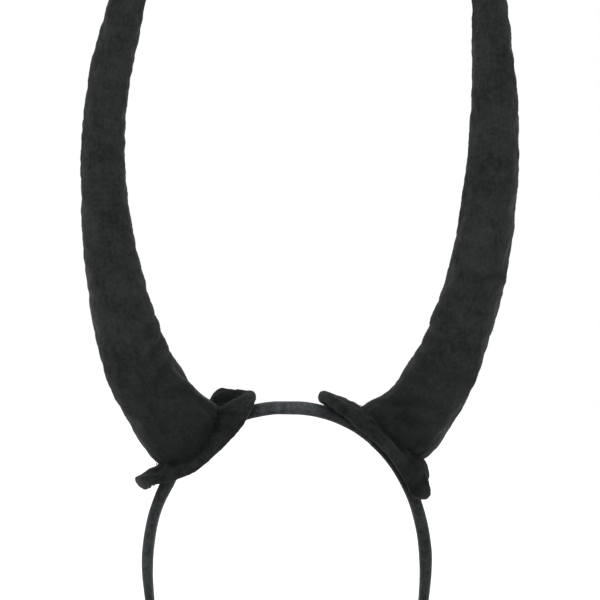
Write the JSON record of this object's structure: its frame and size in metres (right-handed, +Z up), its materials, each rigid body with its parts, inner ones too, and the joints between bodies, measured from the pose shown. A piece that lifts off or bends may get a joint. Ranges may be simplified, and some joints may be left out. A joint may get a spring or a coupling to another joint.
{
  "type": "costume horn headband",
  "caption": "Fabric-covered headband with tall stuffed velvet horns sewn on padded oval bases; arms spring open and horns bend.",
  "frame": {"origin": "inner side of the band at the top of the crown, where it rests on the head", "axes": "+Z up along the horns, +Y to the back of the head, +X across the head"},
  "size_m": [0.2096, 0.0454, 0.417],
  "materials": {
    "velvet": "black plush velvet, short nap",
    "velour": "dark blue-grey velour, smooth",
    "lining": "black felt",
    "foam": "soft black sheet foam",
    "stuffing": "white polyester fibre fill",
    "core_plastic": "black springy plastic",
    "wire": "soft bendable wire"
  },
  "bodies": {
    "crown": {"band_core_crown": "core_plastic", "band_sleeve_crown": "velour"},
    "left_arm": {"band_core_left_arm": "core_plastic", "band_sleeve_left_arm": "velour", "left_end_cap": "velour"},
    "left_mount": {"left_pad_cover": "velvet", "left_pad_foam": "foam", "left_pad_lining": "lining", "left_horn_cuff": "velvet", "left_cuff_stuffing": "stuffing", "left_wire_foot": "wire"},
    "left_horn": {"left_horn_front_panel": "velvet", "left_horn_back_panel": "velvet", "left_horn_stuffing": "stuffing", "left_horn_wire": "wire"},
    "right_arm": {"band_core_right_arm": "core_plastic", "band_sleeve_right_arm": "velour", "right_end_cap": "velour"},
    "right_mount": {"right_pad_cover": "velvet", "right_pad_foam": "foam", "right_pad_lining": "lining", "right_horn_cuff": "velvet", "right_cuff_stuffing": "stuffing", "right_wire_foot": "wire"},
    "right_horn": {"right_horn_front_panel": "velvet", "right_horn_back_panel": "velvet", "right_horn_stuffing": "stuffing", "right_horn_wire": "wire"}
  },
  "joints": [
    {"name": "left_arm_flex", "type": "hinge", "parent": "crown", "child": "left_arm", "pos_m": [-0.05353, 0, -0.02534], "axis": [0, 1, 0], "range_deg": [0, 8], "stiffness_Nm_per_rad": 0.8},
    {"name": "left_horn_rock", "type": "hinge", "parent": "crown", "child": "left_mount", "pos_m": [-0.03709, 0, -0.00834], "axis": [0.8151, 0, 0.5793], "range_deg": [-6, 6], "stiffness_Nm_per_rad": 0.6},
    {"name": "left_horn_bend", "type": "hinge", "parent": "left_mount", "child": "left_horn", "pos_m": [-0.0535, 0, -0.0043], "axis": [0, 1, 0], "range_deg": [-20, 12]},
    {"name": "right_arm_flex", "type": "hinge", "parent": "crown", "child": "right_arm", "pos_m": [0.05298, 0, -0.02535], "axis": [0, -1, 0], "range_deg": [0, 8], "stiffness_Nm_per_rad": 0.8},
    {"name": "right_horn_rock", "type": "hinge", "parent": "crown", "child": "right_mount", "pos_m": [0.04228, 0, -0.01284], "axis": [0.7361, 0, -0.6769], "range_deg": [-6, 6], "stiffness_Nm_per_rad": 0.6},
    {"name": "right_horn_bend", "type": "hinge", "parent": "right_mount", "child": "right_horn", "pos_m": [0.0544, 0, -0.005], "axis": [0, -1, 0], "range_deg": [-20, 12]}
  ]
}
